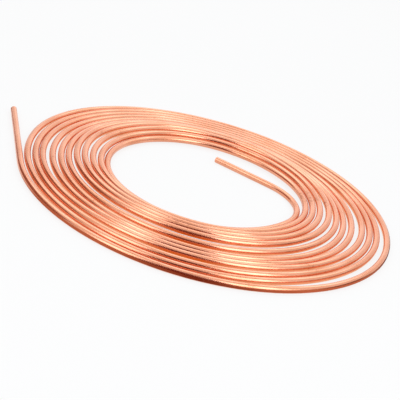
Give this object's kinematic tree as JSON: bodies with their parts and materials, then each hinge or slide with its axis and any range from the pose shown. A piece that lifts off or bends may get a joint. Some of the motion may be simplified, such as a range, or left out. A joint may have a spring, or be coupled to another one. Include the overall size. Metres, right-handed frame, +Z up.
{
  "type": "coil of brake line tubing",
  "caption": "Loose coil of bare copper alloy brake line tube, one spread layer of springy open turns with two plain cut ends, stock for bending and flaring into hydraulic brake lines.",
  "frame": {"origin": "bottom centre of the box that holds the coil and its outer free end, on the floor that it lies on", "axes": "+Z up, across the coil; +X to the right as pictured, away from the outer free end; +Y away from the viewer"},
  "size_m": [0.2995, 0.2768, 0.0081],
  "materials": {
    "copper_tube": "polished"
  },
  "bodies": {
    "root": {"brake_line_tube": "copper_tube"}
  },
  "joints": []
}
